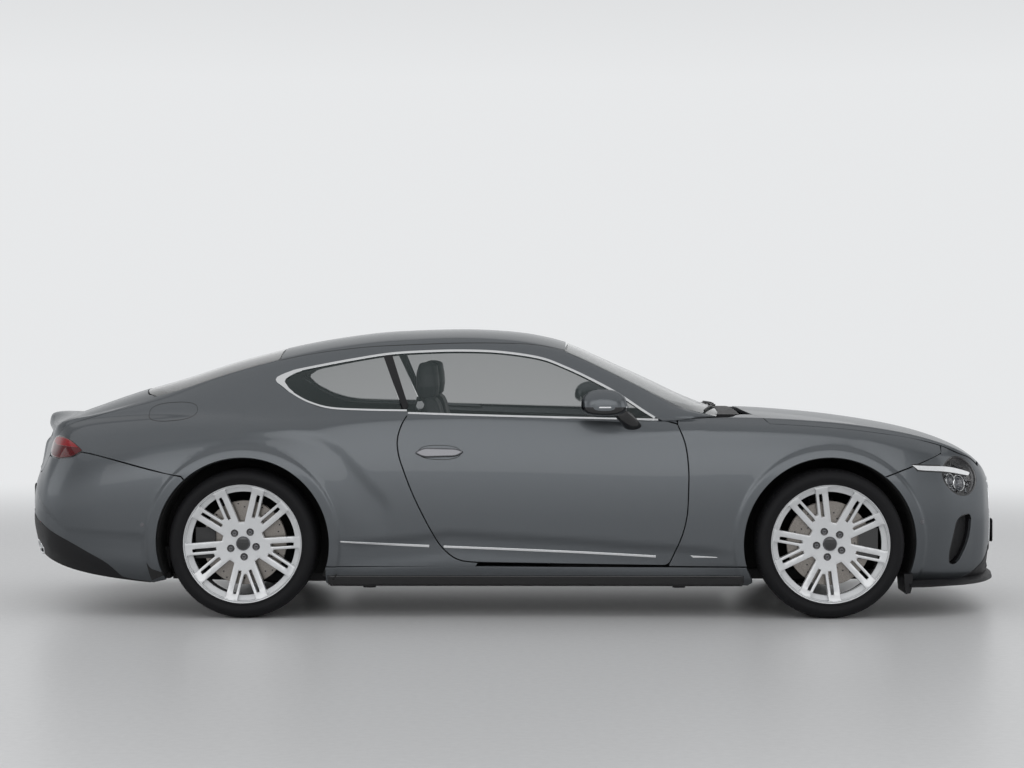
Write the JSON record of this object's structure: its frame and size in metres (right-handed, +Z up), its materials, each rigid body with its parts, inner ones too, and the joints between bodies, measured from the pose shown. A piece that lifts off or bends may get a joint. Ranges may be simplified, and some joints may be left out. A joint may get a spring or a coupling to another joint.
{
  "type": "grand touring coupe car",
  "caption": "Two-door grand touring coupe with opening doors, bonnet and boot lid, steered front wheels and rolling road wheels.",
  "frame": {"origin": "bottom centre of the car's box: on the floor under the middle of its length", "axes": "+X forward, +Y to the car's left, +Z up"},
  "size_m": [4.91, 2.186, 1.4039],
  "materials": {
    "paint": "dark grey metallic clearcoat",
    "chassis": "satin undershield",
    "black_plastic": "grained",
    "gloss_black": "gloss",
    "clear_glass": "clear",
    "tinted_glass": "grey-green tint",
    "lamp_lens": "clear lens",
    "red_lens": "dark red lens",
    "plate": "blank",
    "dark_chrome": "smoked",
    "felt": "felt",
    "interior_trim": "grained",
    "seat_leather": "fluted",
    "dark_leather": "fine grain",
    "engine_alloy": "cast",
    "chassis_steel": "satin black",
    "knuckle_iron": "machined",
    "wheel_silver": "bright silver",
    "tyre_rubber": "tyre"
  },
  "bodies": {
    "body": {"underbody": "chassis", "body_side_right": "paint", "body_side_left": "paint", "roof_panel": "paint", "front_wing_right": "paint", "front_wing_left": "paint", "front_bumper": "paint", "rear_bumper": "paint", "cowl_panel": "black_plastic", "windscreen": "clear_glass", "rear_window": "tinted_glass", "quarter_glass": "tinted_glass", "grille": "gloss_black", "headlamps": "lamp_lens", "tail_lamps": "red_lens", "number_plates": "plate", "splitter": "black_plastic", "diffuser": "black_plastic", "exhaust_tips": "dark_chrome", "arch_liners": "felt", "dashboard": "interior_trim", "front_seats": "seat_leather", "rear_seat": "seat_leather", "engine": "engine_alloy", "front_axle": "chassis_steel", "rear_axle": "chassis_steel"},
    "bonnet": {"bonnet": "paint"},
    "boot_lid": {"boot_lid": "paint"},
    "steering_wheel": {"steering_wheel": "dark_leather"},
    "door_right": {"door_right": "paint", "door_glass_right": "tinted_glass", "door_mirror_right": "paint"},
    "knuckle_front_right": {"knuckle_front_right": "knuckle_iron"},
    "wheel_front_right": {"wheel_front_right": "wheel_silver", "tyre_front_right": "tyre_rubber"},
    "wheel_rear_right": {"wheel_rear_right": "wheel_silver", "tyre_rear_right": "tyre_rubber"},
    "door_left": {"door_left": "paint", "door_glass_left": "tinted_glass", "door_mirror_left": "paint"},
    "knuckle_front_left": {"knuckle_front_left": "knuckle_iron"},
    "wheel_front_left": {"wheel_front_left": "wheel_silver", "tyre_front_left": "tyre_rubber"},
    "wheel_rear_left": {"wheel_rear_left": "wheel_silver", "tyre_rear_left": "tyre_rubber"}
  },
  "joints": [
    {"name": "door_right_hinge", "type": "hinge", "parent": "body", "child": "door_right", "pos_m": [0.756, -0.924, 0.55], "axis": [0, 0, 1], "range_deg": [0, 65]},
    {"name": "steer_right", "type": "hinge", "parent": "body", "child": "knuckle_front_right", "pos_m": [1.545, -0.798, 0.362], "axis": [0, 0, 1], "range_deg": [-35, 35]},
    {"name": "wheel_front_right_spin", "type": "hinge", "parent": "knuckle_front_right", "child": "wheel_front_right", "pos_m": [1.545, -0.828, 0.362], "axis": [0, 1, 0], "continuous": true},
    {"name": "wheel_rear_right_spin", "type": "hinge", "parent": "body", "child": "wheel_rear_right", "pos_m": [-1.306, -0.82, 0.362], "axis": [0, 1, 0], "continuous": true},
    {"name": "door_left_hinge", "type": "hinge", "parent": "body", "child": "door_left", "pos_m": [0.756, 0.924, 0.55], "axis": [0, 0, -1], "range_deg": [0, 65]},
    {"name": "steer_left", "type": "hinge", "parent": "body", "child": "knuckle_front_left", "pos_m": [1.545, 0.798, 0.362], "axis": [0, 0, 1], "range_deg": [-35, 35]},
    {"name": "wheel_front_left_spin", "type": "hinge", "parent": "knuckle_front_left", "child": "wheel_front_left", "pos_m": [1.545, 0.828, 0.362], "axis": [0, 1, 0], "continuous": true},
    {"name": "wheel_rear_left_spin", "type": "hinge", "parent": "body", "child": "wheel_rear_left", "pos_m": [-1.306, 0.82, 0.362], "axis": [0, 1, 0], "continuous": true},
    {"name": "bonnet_hinge", "type": "hinge", "parent": "body", "child": "bonnet", "pos_m": [1.163, 0, 0.968], "axis": [0, -1, 0], "range_deg": [0, 55]},
    {"name": "boot_hinge", "type": "hinge", "parent": "body", "child": "boot_lid", "pos_m": [-1.64, 0, 1], "axis": [0, 1, 0], "range_deg": [0, 70]},
    {"name": "steering_wheel_turn", "type": "hinge", "parent": "body", "child": "steering_wheel", "pos_m": [0.33, -0.375, 0.815], "axis": [-0.9272, 0, 0.3746], "range_deg": [-490, 490]}
  ],
  "couplings": [
    {"joint": "steer_left", "follows": "steer_right", "ratio": 1},
    {"joint": "steering_wheel_turn", "follows": "steer_right", "ratio": 14}
  ]
}
